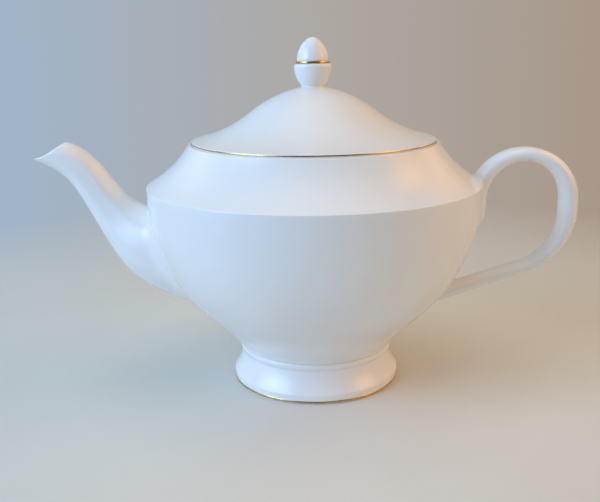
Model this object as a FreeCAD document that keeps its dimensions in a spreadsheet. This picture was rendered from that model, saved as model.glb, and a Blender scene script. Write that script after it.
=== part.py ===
import FreeCAD, Part
import math
import os
import Sketcher

# A footed china teapot with a lift-off lid, standing on z = 0 with its axis on Z.
# The spout points to -X and the handle to +X.

# Driving sizes in millimetres and degrees, each written once
SIZES = [
    # bowl: a ball below the shoulder edge that runs out in a cone to the waist
    ("bowl_radius", 80.0),
    ("bowl_bottom_height", 15.0),
    ("bowl_cone_angle", 45.0),
    ("bowl_wall", 3.0),
    ("waist_radius", 36.7),
    ("waist_fillet", 9.0),
    # shoulder and mouth
    ("shoulder_rise", 3.7),
    ("shoulder_sag", 1.9),
    ("rim_rise", 22.3),
    ("mouth_radius", 54.0),
    ("rim_ledge_width", 6.0),
    ("rim_round", 0.9),
    ("mouth_collar_depth", 4.0),
    # foot
    ("foot_radius", 41.2),
    ("foot_edge_height", 4.5),
    ("foot_edge_round", 0.5),
    ("foot_cove_sag", 0.9),
    ("foot_wall", 3.9),
    ("foot_ring_width", 5.4),
    ("bead_height", 3.4),
    ("bead_sag", 0.65),
    # strainer behind the spout
    ("strainer_hole_diameter", 4.0),
    ("strainer_pitch", 5.6),
    ("strainer_depth", 46.0),
    # spout: its spine and its outer radii
    ("spout_start_inset", 44.0),
    ("spout_start_drop", 43.0),
    ("spout_bend_reach", 35.0),
    ("spout_bend_drop", 30.8),
    ("spout_throat_reach", 17.6),
    ("spout_throat_rise", 24.4),
    ("spout_tip_reach", 59.8),
    ("spout_tip_rise", 21.0),
    ("spout_root_radius", 21.8),
    ("spout_throat_radius", 8.7),
    ("spout_lip_radius", 4.0),
    ("spout_wall", 2.4),
    # spout mouth: a shallow round cut from its peak to the lip's point
    ("lip_point_reach", 56.0),
    ("lip_point_rise", 15.8),
    ("lip_peak_reach", 39.0),
    ("lip_peak_rise", 23.9),
    ("lip_cut_sag", 0.9),
    # handle
    ("handle_reach", 43.2),
    ("handle_root_sink", 1.0),
    ("handle_bend_drop", 6.5),
    ("handle_tail_length", 12.0),
    ("handle_tail_inset", 4.0),
    ("handle_grip_length", 6.5),
    ("handle_lower_radius", 28.0),
    ("handle_lower_slope", 18.5),
    ("handle_lower_run", 54.0),
    ("handle_width", 13.0),
    ("handle_arch_thickness", 6.8),
    ("handle_grip_thickness", 8.8),
    ("handle_lower_thickness", 5.0),
    # lid
    ("lid_edge_inset", 2.1),
    ("lid_seat_gap", 0.05),
    ("lid_lip_height", 1.7),
    ("lid_lip_round", 0.2),
    ("lid_rise", 26.05),
    ("lid_swing", 13.1),
    ("lid_inflection", 0.542),
    ("lid_wall", 2.8),
    ("lid_flange_clearance", 0.8),
    ("lid_flange_thickness", 2.8),
    ("lid_flange_depth", 12.0),
    ("vent_diameter", 3.0),
    ("vent_offset", 20.0),
    # finial: an egg in a cup
    ("finial_neck_radius", 5.3),
    ("finial_neck_height", 0.45),
    ("finial_seat_margin", 0.4),
    ("cup_radius", 8.9),
    ("cup_height", 9.45),
    ("cup_lip", 1.3),
    ("egg_radius", 7.45),
    ("egg_height", 10.8),
    ("egg_cap_radius", 4.6),
    # gilt lines, each laid in a shallow groove and flush with the china
    ("foot_gilt_width", 1.1),
    ("lid_gilt_width", 0.6),
    ("finial_gilt_width", 1.1),
    ("gilt_depth", 0.3),
    ("gilt_margin", 0.1),
]

# Places along the spout's spine, from inside the bowl to the tip, where its round sections stand
SPOUT_STATIONS = (0.0, 0.08, 0.16, 0.24, 0.32, 0.41, 0.52, 0.65, 0.79, 0.91, 1.0)
SPOUT_FLARE_PLACE = 0.325
SPOUT_FLARE_POWER = 5
SPOUT_LIP_POWER = 7

# Places of the handle's sections: on its tail, over its arch in degrees, and on its lower bend and run
TAIL_SHARES = (1.0, 0.85, 0.5)
TAIL_POWER = 6
ARCH_TURNS = (0, 30, 60, 90, 120, 150, 180)
LOWER_BEND_SHARES = (0.0, 0.25, 0.5, 0.75, 1.0)
LOWER_RUN_SHARES = (0.2, 0.4, 0.6, 0.8, 1.0)

# Index of the spout section that the strainer holes run square to
STRAINER_INDEX = 2

# Rings of strainer holes around the middle one: holes in the ring and its radius in pitches
STRAINER_RINGS = ((6, 1.0), (12, 1.95))

FULL_TURN = 360.0
HALF_TURN = 180.0


def sag_radius(start, end, sag):
    """Formula for the radius of an arc between two places with the given rise over its chord."""
    run = f"({start[0]}-{end[0]})"
    climb = f"({start[1]}-{end[1]})"
    return f"({run}^2+{climb}^2)/(8*{sag})+{sag}/2"


# Sizes that follow from the driving ones
DERIVED = [
    # bowl
    ("bowl_centre_height", "bowl_bottom_height+bowl_radius"),
    ("inner_radius", "bowl_radius-bowl_wall"),
    ("inner_bottom", "bowl_bottom_height+bowl_wall"),
    ("cone_top_r", "bowl_radius*cos(bowl_cone_angle)"),
    ("cone_top_z", "bowl_centre_height-bowl_radius*sin(bowl_cone_angle)"),
    ("waist_corner_z", "cone_top_z-(cone_top_r-waist_radius)/tan(bowl_cone_angle)"),
    ("fillet_run", "waist_fillet*tan(bowl_cone_angle/2)"),
    ("waist_z", "waist_corner_z-fillet_run"),
    ("fillet_top_r", "waist_radius+fillet_run*sin(bowl_cone_angle)"),
    ("fillet_top_z", "waist_corner_z+fillet_run*cos(bowl_cone_angle)"),
    ("joint_z", "waist_z+bead_height"),
    ("joint_r", "waist_radius+waist_fillet-sqrt(waist_fillet^2-bead_height^2)"),
    # shoulder and mouth
    ("shoulder_z", "bowl_centre_height+shoulder_rise"),
    ("rim_z", "bowl_centre_height+rim_rise"),
    ("rim_side_z", "rim_z-rim_round"),
    ("rim_radius", "mouth_radius+rim_ledge_width"),
    ("rim_top_r", "rim_radius-rim_round"),
    ("collar_z", "rim_z-mouth_collar_depth"),
    (
        "shoulder_curve",
        sag_radius(("bowl_radius", "shoulder_z"), ("rim_radius", "rim_side_z"), "shoulder_sag"),
    ),
    # foot
    ("foot_bore", "waist_radius-foot_wall"),
    ("underside_z", "bowl_centre_height-sqrt(bowl_radius^2-foot_bore^2)"),
    ("foot_stand_outer", "foot_radius-foot_edge_round"),
    ("foot_stand_inner", "foot_radius-foot_ring_width"),
    (
        "foot_cove",
        sag_radius(("foot_radius", "foot_edge_height"), ("waist_radius", "waist_z"), "foot_cove_sag"),
    ),
    ("bead_curve", sag_radius(("waist_radius", "waist_z"), ("joint_r", "joint_z"), "bead_sag")),
    ("foot_gilt_r", "foot_radius-gilt_depth"),
    ("foot_gilt_z", "foot_edge_round+foot_gilt_width"),
    # handle
    ("handle_root_x", "bowl_radius-handle_root_sink"),
    ("handle_grip_x", "bowl_radius+handle_reach"),
    ("handle_arch_radius", "(handle_grip_x-handle_root_x)/2"),
    ("handle_arch_x", "handle_root_x+handle_arch_radius"),
    ("handle_bend_z", "bowl_centre_height-handle_bend_drop"),
    ("handle_lower_x", "handle_grip_x-handle_lower_radius"),
    ("handle_lower_z", "handle_bend_z-handle_grip_length"),
    ("handle_lower_turn", "90-handle_lower_slope"),
    ("handle_half_width", "handle_width/2"),
    # spout mouth
    ("lip_point_x", "bowl_radius+lip_point_reach"),
    ("lip_point_z", "bowl_centre_height+lip_point_rise"),
    ("lip_peak_x", "bowl_radius+lip_peak_reach"),
    ("lip_peak_z", "bowl_centre_height+lip_peak_rise"),
    (
        "lip_cut_radius",
        sag_radius(("lip_point_x", "lip_point_z"), ("lip_peak_x", "lip_peak_z"), "lip_cut_sag"),
    ),
    ("lip_cut_slope", "atan2(lip_peak_z-lip_point_z; lip_point_x-lip_peak_x)"),
    ("lip_cut_x", "(lip_point_x+lip_peak_x)/2+(lip_cut_radius-lip_cut_sag)*sin(lip_cut_slope)"),
    ("lip_cut_z", "(lip_point_z+lip_peak_z)/2+(lip_cut_radius-lip_cut_sag)*cos(lip_cut_slope)"),
    ("lip_cut_width", "4*spout_throat_radius"),
    ("lip_cut_side", "lip_cut_width/2"),
    # lid edge and flange
    ("seat_z", "rim_z+lid_seat_gap"),
    ("lid_radius", "rim_radius-lid_edge_inset"),
    ("lip_z", "seat_z+lid_lip_height"),
    ("lid_gilt_high", "lip_z-gilt_margin"),
    ("lid_gilt_low", "lid_gilt_high-lid_gilt_width"),
    ("lid_gilt_r", "lid_radius-gilt_depth"),
    ("flange_outer", "mouth_radius-lid_flange_clearance"),
    ("flange_inner", "flange_outer-lid_flange_thickness"),
    ("flange_z", "seat_z-lid_flange_depth"),
    # lid dome: two arcs that meet at the swing of an S from the edge to the crown
    ("dome_edge_r", "lid_radius-lid_lip_round"),
    ("dome_edge_z", "lip_z+lid_lip_round"),
    ("crown_r", "finial_neck_radius+finial_seat_margin"),
    ("crown_z", "seat_z+lid_rise"),
    ("dome_run", "dome_edge_r-crown_r"),
    ("dome_climb", "crown_z-dome_edge_z"),
    ("dome_chord", "sqrt(dome_run^2+dome_climb^2)"),
    ("dome_slope", "atan2(dome_climb; dome_run)+lid_swing*1deg"),
    ("dome_mid_r", "dome_edge_r-lid_inflection*dome_run"),
    ("dome_mid_z", "dome_edge_z+lid_inflection*dome_climb"),
    ("dome_hollow_curve", "lid_inflection*dome_chord/(2*sin(lid_swing))"),
    ("dome_crown_curve", "(1-lid_inflection)*dome_chord/(2*sin(lid_swing))"),
    ("under_mid_r", "dome_mid_r-lid_wall*sin(dome_slope)"),
    ("under_mid_z", "dome_mid_z-lid_wall*cos(dome_slope)"),
    ("under_hollow_curve", "dome_hollow_curve+lid_wall"),
    ("under_crown_curve", "dome_crown_curve-lid_wall"),
    ("under_hollow_x", "dome_mid_r+dome_hollow_curve*sin(dome_slope)"),
    ("under_hollow_z", "dome_mid_z+dome_hollow_curve*cos(dome_slope)"),
    ("under_edge_z", "under_hollow_z-sqrt(under_hollow_curve^2-(under_hollow_x-flange_inner)^2)"),
    ("under_crown_x", "dome_crown_curve*sin(dome_slope)-dome_mid_r"),
    ("under_crown_base", "dome_mid_z-dome_crown_curve*cos(dome_slope)"),
    ("under_crown_z", "under_crown_base+sqrt(under_crown_curve^2-under_crown_x^2)"),
    # finial
    ("neck_z", "crown_z+finial_neck_height"),
    ("cup_z", "crown_z+cup_height"),
    ("cup_bulge", "cup_radius-finial_neck_radius"),
    ("cup_curve", "(cup_bulge^2+(cup_z-neck_z)^2)/(2*cup_bulge)"),
    ("cup_ledge_r", "cup_radius-cup_lip"),
    ("cup_ledge_z", "cup_z+cup_lip"),
    ("finial_gilt_r", "egg_radius-gilt_depth"),
    ("egg_z", "cup_ledge_z+finial_gilt_width"),
    ("egg_top", "egg_z+egg_height"),
    ("egg_cap_z", "egg_height-egg_cap_radius"),
    ("egg_side_curve", "(egg_radius^2+egg_cap_z^2-egg_cap_radius^2)/(2*(egg_radius-egg_cap_radius))"),
    ("egg_join_r", "egg_cap_radius*(egg_side_curve-egg_radius)/(egg_side_curve-egg_cap_radius)"),
    ("egg_join_z", "egg_z+egg_cap_z+egg_cap_radius*egg_cap_z/(egg_side_curve-egg_cap_radius)"),
]


def spine_formulas():
    """Place, turn and radii of every spout section on a cubic spine, the spout leading to +X."""
    corners_x = (
        "(bowl_radius-spout_start_inset)",
        "(bowl_radius+spout_bend_reach)",
        "(bowl_radius+spout_throat_reach)",
        "(bowl_radius+spout_tip_reach)",
    )
    corners_z = (
        "(bowl_centre_height-spout_start_drop)",
        "(bowl_centre_height-spout_bend_drop)",
        "(bowl_centre_height+spout_throat_rise)",
        "(bowl_centre_height+spout_tip_rise)",
    )
    formulas = []
    for number, share in enumerate(SPOUT_STATIONS):
        rest = 1.0 - share
        weights = (rest**3, 3 * rest**2 * share, 3 * rest * share**2, share**3)
        slopes = (-(rest**2), rest**2 - 2 * rest * share, 2 * rest * share - share**2, share**2)
        flare = 1.0 / (1.0 + (share / SPOUT_FLARE_PLACE) ** SPOUT_FLARE_POWER)
        narrowing = share**SPOUT_LIP_POWER
        place_x = "+".join(f"{w:.6f}*{c}" for w, c in zip(weights, corners_x))
        place_z = "+".join(f"{w:.6f}*{c}" for w, c in zip(weights, corners_z))
        run = "+".join(f"({w:.6f})*{c}" for w, c in zip(slopes, corners_x))
        climb = "+".join(f"({w:.6f})*{c}" for w, c in zip(slopes, corners_z))
        radius = (
            f"spout_throat_radius+{flare:.6f}*(spout_root_radius-spout_throat_radius)"
            f"-{narrowing:.6f}*(spout_throat_radius-spout_lip_radius)"
        )
        formulas.append((f"spout_x_{number}_", place_x))
        formulas.append((f"spout_z_{number}_", place_z))
        formulas.append((f"spout_turn_{number}_", f"-atan2({climb}; {run})"))
        formulas.append((f"spout_radius_{number}_", radius))
        formulas.append((f"passage_radius_{number}_", f"{radius}-spout_wall"))
    return formulas


def handle_formulas():
    """Place, turn and thickness of every handle section, from its tail over the arch to the bowl."""
    stations = []
    for share in TAIL_SHARES:
        curl = share**TAIL_POWER
        lean = TAIL_POWER * share ** (TAIL_POWER - 1)
        stations.append(
            (
                f"handle_root_x-{curl:.6f}*handle_tail_inset",
                f"handle_bend_z-{share}*handle_tail_length",
                f"atan2({lean:.6f}*handle_tail_inset; handle_tail_length)-90deg",
                f"handle_grip_thickness+{curl:.6f}*(handle_lower_thickness-handle_grip_thickness)",
            )
        )
    for turn in ARCH_TURNS:
        stations.append(
            (
                f"handle_arch_x-handle_arch_radius*cos({turn})",
                f"handle_bend_z+handle_arch_radius*sin({turn})",
                f"{turn}-90",
                f"handle_arch_thickness+cos({turn})^2*(handle_grip_thickness-handle_arch_thickness)",
            )
        )
    for share in LOWER_BEND_SHARES:
        turn = f"({share}*handle_lower_turn)"
        stations.append(
            (
                f"handle_lower_x+handle_lower_radius*cos{turn}",
                f"handle_lower_z-handle_lower_radius*sin{turn}",
                f"90+{turn}",
                f"handle_grip_thickness+{share}*(handle_lower_thickness-handle_grip_thickness)",
            )
        )
    for share in LOWER_RUN_SHARES:
        stations.append(
            (
                "handle_lower_x+handle_lower_radius*cos(handle_lower_turn)"
                f"-{share}*handle_lower_run*cos(handle_lower_slope)",
                "handle_lower_z-handle_lower_radius*sin(handle_lower_turn)"
                f"-{share}*handle_lower_run*sin(handle_lower_slope)",
                "90+handle_lower_turn",
                f"handle_lower_thickness+{share}*(handle_arch_thickness-handle_lower_thickness)",
            )
        )
    formulas = []
    for number, (place_x, place_z, turn, thickness) in enumerate(stations):
        formulas.append((f"handle_x_{number}_", place_x))
        formulas.append((f"handle_z_{number}_", place_z))
        formulas.append((f"handle_turn_{number}_", turn))
        formulas.append((f"handle_half_{number}_", f"({thickness})/2"))
    return formulas, len(stations)


def strainer_formulas():
    """Middle of the strainer on the bowl wall, met along the spout's root, and its ring radii."""
    place_x = f"spout_x_{STRAINER_INDEX}_"
    place_z = f"spout_z_{STRAINER_INDEX}_"
    turn = f"spout_turn_{STRAINER_INDEX}_"
    rise = f"({place_z}-bowl_centre_height)"
    along = f"({place_x}*cos({turn})-{rise}*sin({turn}))"
    beside = f"({place_x}*sin({turn})+{rise}*cos({turn}))"
    formulas = [
        ("strainer_step", f"sqrt((bowl_radius-bowl_wall/2)^2-{beside}^2)-{along}"),
        ("strainer_x", f"{place_x}+strainer_step*cos({turn})"),
        ("strainer_z", f"{place_z}-strainer_step*sin({turn})"),
        ("strainer_hole_radius", "strainer_hole_diameter/2"),
    ]
    for number, (_, share) in enumerate(STRAINER_RINGS):
        formulas.append((f"strainer_ring_{number}_", f"{share}*strainer_pitch"))
    return formulas


def write_sheet(doc, formulas):
    """Spreadsheet with the driving sizes as plain numbers and the derived ones as formulas."""
    sheet = doc.addObject("Spreadsheet::Sheet", "Sizes")
    row = 0
    for name, value in SIZES:
        row += 1
        sheet.set(f"A{row}", name)
        sheet.set(f"B{row}", str(value))
        sheet.setAlias(f"B{row}", name)
    for name, formula in formulas:
        row += 1
        sheet.set(f"A{row}", name)
        sheet.setAlias(f"B{row}", name)
        sheet.set(f"B{row}", "=" + formula)
    doc.recompute()
    return sheet


def origin_plane(body, role):
    return next(feature for feature in body.Origin.OriginFeatures if feature.Role == role)


def new_sketch(body, name, role):
    sketch = body.newObject("Sketcher::SketchObject", name)
    sketch.AttachmentSupport = (origin_plane(body, role), [""])
    sketch.MapMode = "FlatFace"
    return sketch


def bind(sketch, constraint, alias):
    """Adds a dimension to a sketch and ties it to a cell of the sheet."""
    index = sketch.addConstraint(constraint)
    sketch.setExpression(f"Constraints[{index}]", f"Sizes.{alias}")


def arc_between(start, end, radius, turn):
    """Arc of the given radius, turning left (+1) or right (-1) on its way from start to end."""
    chord = end - start
    left = FreeCAD.Vector(-chord.y, chord.x, 0) / chord.Length
    offset = math.sqrt(max(radius**2 - (chord.Length / 2) ** 2, 0.0))
    centre = (start + end) / 2 + left * (offset * turn)
    first, last = (start, end) if turn > 0 else (end, start)
    first_angle = math.atan2(first.y - centre.y, first.x - centre.x)
    last_angle = math.atan2(last.y - centre.y, last.x - centre.x)
    circle = Part.Circle(centre, FreeCAD.Vector(0, 0, 1), radius)
    return Part.ArcOfCircle(circle, first_angle, last_angle)


def closed_profile(sketch, sheet, corners):
    """Closed outline through corners (x, y, edge); an edge is None for a line, or (radius, turn)."""
    places = []
    for x_name, y_name, _ in corners:
        x = sheet.get(x_name) if x_name else 0.0
        y = sheet.get(y_name) if y_name else 0.0
        places.append(FreeCAD.Vector(x, y, 0))
    ends = []
    for number, (_, _, edge) in enumerate(corners):
        start = places[number]
        end = places[(number + 1) % len(places)]
        if edge is None:
            geometry = sketch.addGeometry(Part.LineSegment(start, end))
            ends.append((geometry, 1, 2))
        else:
            radius_name, turn = edge
            geometry = sketch.addGeometry(arc_between(start, end, sheet.get(radius_name), turn))
            ends.append((geometry, 1, 2) if turn > 0 else (geometry, 2, 1))
    for number, (geometry, _, tail) in enumerate(ends):
        following, head, _ = ends[(number + 1) % len(ends)]
        sketch.addConstraint(Sketcher.Constraint("Coincident", geometry, tail, following, head))
    for number, (x_name, y_name, edge) in enumerate(corners):
        geometry, head, _ = ends[number]
        if x_name:
            bind(sketch, Sketcher.Constraint("DistanceX", geometry, head, places[number].x), x_name)
        else:
            sketch.addConstraint(Sketcher.Constraint("PointOnObject", geometry, head, -2))
        if y_name:
            bind(sketch, Sketcher.Constraint("DistanceY", geometry, head, places[number].y), y_name)
        else:
            sketch.addConstraint(Sketcher.Constraint("PointOnObject", geometry, head, -1))
        if edge is not None:
            bind(sketch, Sketcher.Constraint("Radius", geometry, sheet.get(edge[0])), edge[0])


def turned_body(doc, sheet, name, corners):
    """Body turned about the Z axis from a closed outline of radii and heights."""
    body = doc.addObject("PartDesign::Body", name)
    sketch = new_sketch(body, f"{name}_outline", "XZ_Plane")
    closed_profile(sketch, sheet, corners)
    turned = body.newObject("PartDesign::Revolution", f"{name}_turned")
    turned.Profile = sketch
    turned.ReferenceAxis = (sketch, ["V_Axis"])
    turned.Angle = FULL_TURN
    return body


def stand_section(sketch, x_name, z_name, turn_name):
    """Stands a section sketch of the YZ plane on the XZ plane's curve, square to its direction."""
    sketch.AttachmentOffset = FreeCAD.Placement(
        FreeCAD.Vector(0, 0, 0), FreeCAD.Rotation(FreeCAD.Vector(1, 0, 0), 1.0)
    )
    sketch.setExpression("AttachmentOffset.Base.y", f"Sizes.{z_name}")
    sketch.setExpression("AttachmentOffset.Base.z", f"Sizes.{x_name}")
    sketch.setExpression("AttachmentOffset.Rotation.Angle", f"Sizes.{turn_name}")


def round_section(body, sheet, name, radius_name):
    sketch = new_sketch(body, name, "YZ_Plane")
    circle = Part.Circle(FreeCAD.Vector(0, 0, 0), FreeCAD.Vector(0, 0, 1), sheet.get(radius_name))
    geometry = sketch.addGeometry(circle)
    sketch.addConstraint(Sketcher.Constraint("Coincident", geometry, 3, -1, 1))
    bind(sketch, Sketcher.Constraint("Radius", geometry, sheet.get(radius_name)), radius_name)
    return sketch


def oval_section(body, sheet, name, half_width_name, half_height_name):
    sketch = new_sketch(body, name, "YZ_Plane")
    half_width = sheet.get(half_width_name)
    half_height = sheet.get(half_height_name)
    oval = Part.Ellipse(FreeCAD.Vector(0, 0, 0), half_width, half_height)
    geometry = sketch.addGeometry(oval)
    sketch.addConstraint(Sketcher.Constraint("Coincident", geometry, 3, -1, 1))
    sketch.exposeInternalGeometry(geometry)
    long_axis = geometry + 1
    short_axis = geometry + 2
    sketch.addConstraint(Sketcher.Constraint("PointOnObject", long_axis, 1, -1))
    for axis, half_name in ((long_axis, half_width_name), (short_axis, half_height_name)):
        half = sheet.get(half_name)
        index = sketch.addConstraint(Sketcher.Constraint("Distance", axis, 2 * half))
        sketch.setExpression(f"Constraints[{index}]", f"2*Sizes.{half_name}")
    return sketch


def lofted_body(doc, name, make_section, count):
    """Body lofted smoothly through sections 0 to count - 1."""
    body = doc.addObject("PartDesign::Body", name)
    sketches = [make_section(body, number) for number in range(count)]
    doc.recompute()
    loft = body.newObject("PartDesign::AdditiveLoft", f"{name}_loft")
    loft.Profile = sketches[0]
    loft.Sections = sketches[1:]
    loft.Ruled = False
    loft.Closed = False
    return body


def cut(doc, name, base, tool):
    result = doc.addObject("Part::Cut", name)
    result.Base = base
    result.Tool = tool
    return result


# Outside of the bowl from the foot joint to the rim, shared by the bowl and by what is cut to fit it
OUTER_WALL = [
    ("joint_r", "joint_z", ("waist_fillet", -1)),
    ("fillet_top_r", "fillet_top_z", None),
    ("cone_top_r", "cone_top_z", ("bowl_radius", 1)),
    ("bowl_radius", "bowl_centre_height", None),
    ("bowl_radius", "shoulder_z", ("shoulder_curve", -1)),
    ("rim_radius", "rim_side_z", ("rim_round", 1)),
]


def make_envelope(doc, sheet):
    """Solid bounded by the outside of the bowl, to trim the spout and the handle."""
    top = [("rim_top_r", "rim_z", None), (None, "rim_z", None), (None, "joint_z", None)]
    return turned_body(doc, sheet, "BowlEnvelope", OUTER_WALL + top)


def make_pot_body(doc, sheet):
    """Bowl, shoulder and mouth as one shell, pierced by the strainer holes behind the spout."""
    inside = [
        ("rim_top_r", "rim_z", None),
        ("mouth_radius", "rim_z", None),
        ("mouth_radius", "collar_z", None),
        ("inner_radius", "bowl_centre_height", ("inner_radius", -1)),
        (None, "inner_bottom", None),
        (None, "bowl_bottom_height", ("bowl_radius", 1)),
        ("foot_bore", "underside_z", None),
        ("foot_bore", "joint_z", None),
    ]
    body = turned_body(doc, sheet, "PotBody", OUTER_WALL + inside)
    doc.recompute()
    pierce_strainer(doc, body, sheet)
    body.Placement = half_turn_placement()
    body.Label = "pot_body"
    return body


def strainer_hole(body, sheet, name, offset_name):
    """Hole through the bowl wall along the spout's root, set off from the strainer's middle."""
    sketch = new_sketch(body, f"{name}_place", "YZ_Plane")
    offset = sheet.get(offset_name) if offset_name else 0.0
    radius = sheet.get("strainer_hole_radius")
    centre = FreeCAD.Vector(offset, 0, 0)
    geometry = sketch.addGeometry(Part.Circle(centre, FreeCAD.Vector(0, 0, 1), radius))
    sketch.addConstraint(Sketcher.Constraint("PointOnObject", geometry, 3, -1))
    if offset_name:
        bind(sketch, Sketcher.Constraint("DistanceX", geometry, 3, offset), offset_name)
    else:
        sketch.addConstraint(Sketcher.Constraint("PointOnObject", geometry, 3, -2))
    bind(sketch, Sketcher.Constraint("Radius", geometry, radius), "strainer_hole_radius")
    stand_section(sketch, "strainer_x", "strainer_z", f"spout_turn_{STRAINER_INDEX}_")
    hole = body.newObject("PartDesign::Pocket", name)
    hole.Profile = sketch
    hole.SideType = "Symmetric"
    hole.setExpression("Length", "Sizes.strainer_depth")
    return sketch, hole


def pierce_strainer(doc, body, sheet):
    strainer_hole(body, sheet, "StrainerMiddle", None)
    for number, (count, _) in enumerate(STRAINER_RINGS):
        sketch, hole = strainer_hole(body, sheet, f"StrainerRing{number}", f"strainer_ring_{number}_")
        doc.recompute()
        ring = body.newObject("PartDesign::PolarPattern", f"StrainerPattern{number}")
        ring.Originals = [hole]
        ring.Axis = (sketch, ["N_Axis"])
        ring.Angle = FULL_TURN
        ring.Occurrences = count
        body.Tip = ring
        doc.recompute()


def half_turn_placement():
    """Turns what is modelled towards +X round to the spout's side."""
    return FreeCAD.Placement(FreeCAD.Vector(0, 0, 0), FreeCAD.Rotation(FreeCAD.Vector(0, 0, 1), HALF_TURN))


def make_foot(doc, sheet):
    """Hollow foot with a standing ring, a coved side and a bead where it joins the bowl."""
    corners = [
        ("foot_stand_outer", None, ("foot_edge_round", 1)),
        ("foot_radius", "foot_edge_round", None),
        ("foot_gilt_r", "foot_edge_round", None),
        ("foot_gilt_r", "foot_gilt_z", None),
        ("foot_radius", "foot_gilt_z", None),
        ("foot_radius", "foot_edge_height", ("foot_cove", -1)),
        ("waist_radius", "waist_z", ("bead_curve", 1)),
        ("joint_r", "joint_z", None),
        ("foot_bore", "joint_z", None),
        ("foot_stand_inner", None, None),
    ]
    foot = turned_body(doc, sheet, "Foot", corners)
    foot.Label = "foot"
    return foot


def make_spout(doc, sheet, envelope):
    """Hollow spout on a curved spine, cut to the bowl and open in a pouring lip."""

    def section(radius_name):
        def make(body, number):
            sketch = round_section(body, sheet, f"{body.Name}_{number}", f"{radius_name}_{number}_")
            stand_section(sketch, f"spout_x_{number}_", f"spout_z_{number}_", f"spout_turn_{number}_")
            return sketch

        return make

    count = len(SPOUT_STATIONS)
    outside = lofted_body(doc, "SpoutOutside", section("spout_radius"), count)
    passage = lofted_body(doc, "SpoutPassage", section("passage_radius"), count)
    mouth = doc.addObject("Part::Cylinder", "SpoutMouth")
    mouth.setExpression("Radius", "Sizes.lip_cut_radius")
    mouth.setExpression("Height", "Sizes.lip_cut_width")
    mouth.Placement = FreeCAD.Placement(
        FreeCAD.Vector(0, 0, 0), FreeCAD.Rotation(FreeCAD.Vector(1, 0, 0), 90.0)
    )
    mouth.setExpression("Placement.Base.x", "Sizes.lip_cut_x")
    mouth.setExpression("Placement.Base.y", "Sizes.lip_cut_side")
    mouth.setExpression("Placement.Base.z", "Sizes.lip_cut_z")
    trimmed = cut(doc, "SpoutTrimmed", outside, mouth)
    seated = cut(doc, "SpoutSeated", trimmed, envelope)
    spout = cut(doc, "Spout", seated, passage)
    spout.Placement = half_turn_placement()
    spout.Label = "spout"
    return spout


def make_handle(doc, sheet, envelope, count):
    """Oval strap that rises from a tail on the bowl, arches over and runs back low on the bowl."""

    def section(body, number):
        name = f"{body.Name}_{number}"
        sketch = oval_section(body, sheet, name, "handle_half_width", f"handle_half_{number}_")
        stand_section(sketch, f"handle_x_{number}_", f"handle_z_{number}_", f"handle_turn_{number}_")
        return sketch

    strap = lofted_body(doc, "HandleStrap", section, count)
    handle = cut(doc, "Handle", strap, envelope)
    handle.Label = "handle"
    return handle


def make_lid(doc, sheet):
    """Domed lid with a thin upright edge, a locating flange and a steam vent at the back."""
    corners = [
        ("lid_radius", "seat_z", None),
        ("lid_radius", "lid_gilt_low", None),
        ("lid_gilt_r", "lid_gilt_low", None),
        ("lid_gilt_r", "lid_gilt_high", None),
        ("lid_radius", "lid_gilt_high", None),
        ("lid_radius", "lip_z", ("lid_lip_round", 1)),
        ("dome_edge_r", "dome_edge_z", ("dome_hollow_curve", -1)),
        ("dome_mid_r", "dome_mid_z", ("dome_crown_curve", 1)),
        ("crown_r", "crown_z", None),
        (None, "crown_z", None),
        (None, "under_crown_z", ("under_crown_curve", -1)),
        ("under_mid_r", "under_mid_z", ("under_hollow_curve", 1)),
        ("flange_inner", "under_edge_z", None),
        ("flange_inner", "flange_z", None),
        ("flange_outer", "flange_z", None),
        ("flange_outer", "seat_z", None),
    ]
    lid = turned_body(doc, sheet, "Lid", corners)
    doc.recompute()
    sketch = new_sketch(lid, "VentPlace", "XY_Plane")
    offset = sheet.get("vent_offset")
    diameter = sheet.get("vent_diameter")
    circle = Part.Circle(FreeCAD.Vector(0, offset, 0), FreeCAD.Vector(0, 0, 1), diameter / 2)
    geometry = sketch.addGeometry(circle)
    sketch.addConstraint(Sketcher.Constraint("PointOnObject", geometry, 3, -2))
    bind(sketch, Sketcher.Constraint("DistanceY", geometry, 3, offset), "vent_offset")
    bind(sketch, Sketcher.Constraint("Diameter", geometry, diameter), "vent_diameter")
    vent = lid.newObject("PartDesign::Pocket", "Vent")
    vent.Profile = sketch
    vent.SideType = "Symmetric"
    vent.setExpression("Length", "2*Sizes.egg_top")
    lid.Label = "lid"
    return lid


def make_finial(doc, sheet):
    """Knob of the lid: an egg in a cup, with a groove for the gilt line between them."""
    corners = [
        ("finial_neck_radius", "crown_z", None),
        ("finial_neck_radius", "neck_z", ("cup_curve", 1)),
        ("cup_radius", "cup_z", ("cup_lip", 1)),
        ("cup_ledge_r", "cup_ledge_z", None),
        ("finial_gilt_r", "cup_ledge_z", None),
        ("finial_gilt_r", "egg_z", None),
        ("egg_radius", "egg_z", ("egg_side_curve", 1)),
        ("egg_join_r", "egg_join_z", ("egg_cap_radius", 1)),
        (None, "egg_top", None),
        (None, "crown_z", None),
    ]
    finial = turned_body(doc, sheet, "Finial", corners)
    finial.Label = "finial"
    return finial


def make_gilt_line(doc, sheet, name, inner, outer, low, high):
    """Thin gilt ring that fills its groove."""
    corners = [(inner, low, None), (outer, low, None), (outer, high, None), (inner, high, None)]
    return turned_body(doc, sheet, name, corners)


def check_document(doc, pieces):
    """Stops before anything is written if a feature failed or a piece isn't one sound solid."""
    for item in doc.Objects:
        if "Invalid" in item.State or "Error" in item.State:
            raise RuntimeError(f"{item.Label} failed: {item.State}")
    for piece in pieces:
        shape = piece.Shape
        if shape.isNull() or not shape.isValid() or len(shape.Solids) != 1:
            raise RuntimeError(f"{piece.Label} is not one sound solid")


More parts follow.
